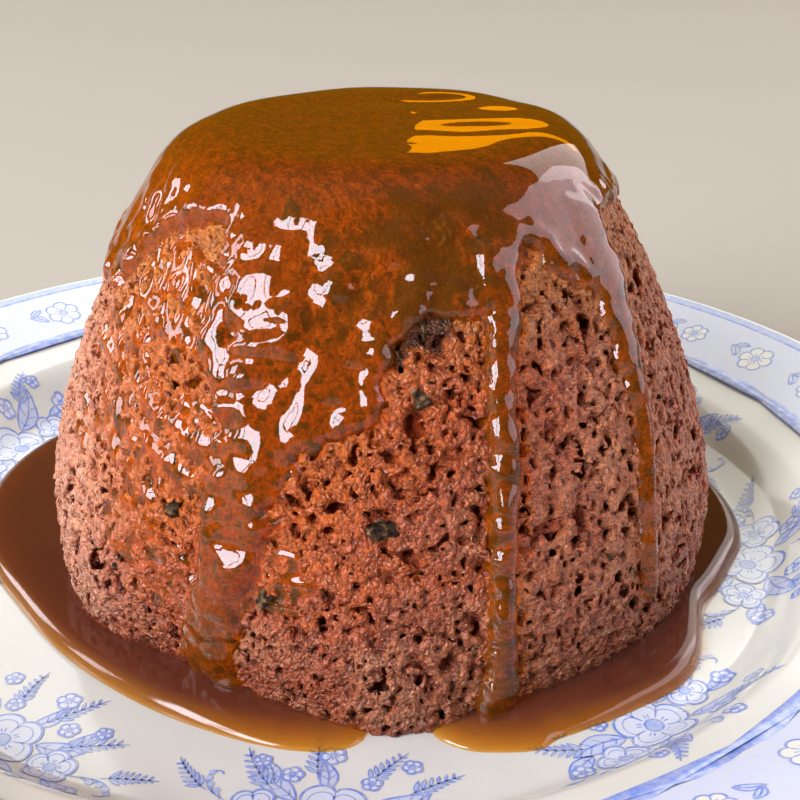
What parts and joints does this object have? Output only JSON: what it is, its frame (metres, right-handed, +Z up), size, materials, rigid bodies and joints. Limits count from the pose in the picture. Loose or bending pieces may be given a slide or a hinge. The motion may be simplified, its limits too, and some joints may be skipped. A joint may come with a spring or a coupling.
{
  "type": "plate of steamed pudding",
  "caption": "Individual steamed sponge pudding turned out on a small round plate, coated with toffee sauce that runs down its sides into a pool.",
  "frame": {"origin": "middle of the plate's foot ring, on the surface it stands on", "axes": "+Z up; -Y towards the side with the bare gap in the pool of sauce; +X to the right of that, where the pudding stands a little off the plate's middle"},
  "size_m": [0.172, 0.172, 0.0652],
  "materials": {
    "plate_glaze": "white glazed earthenware with a blue printed border",
    "sponge": "open, moist dark sponge crumb",
    "fruit": "soft chopped dark fruit",
    "toffee_sauce": "clear glossy toffee sauce"
  },
  "bodies": {
    "root": {"plate": "plate_glaze", "pudding": "sponge", "sauce_coat": "toffee_sauce", "sauce_pool": "toffee_sauce"}
  },
  "joints": []
}
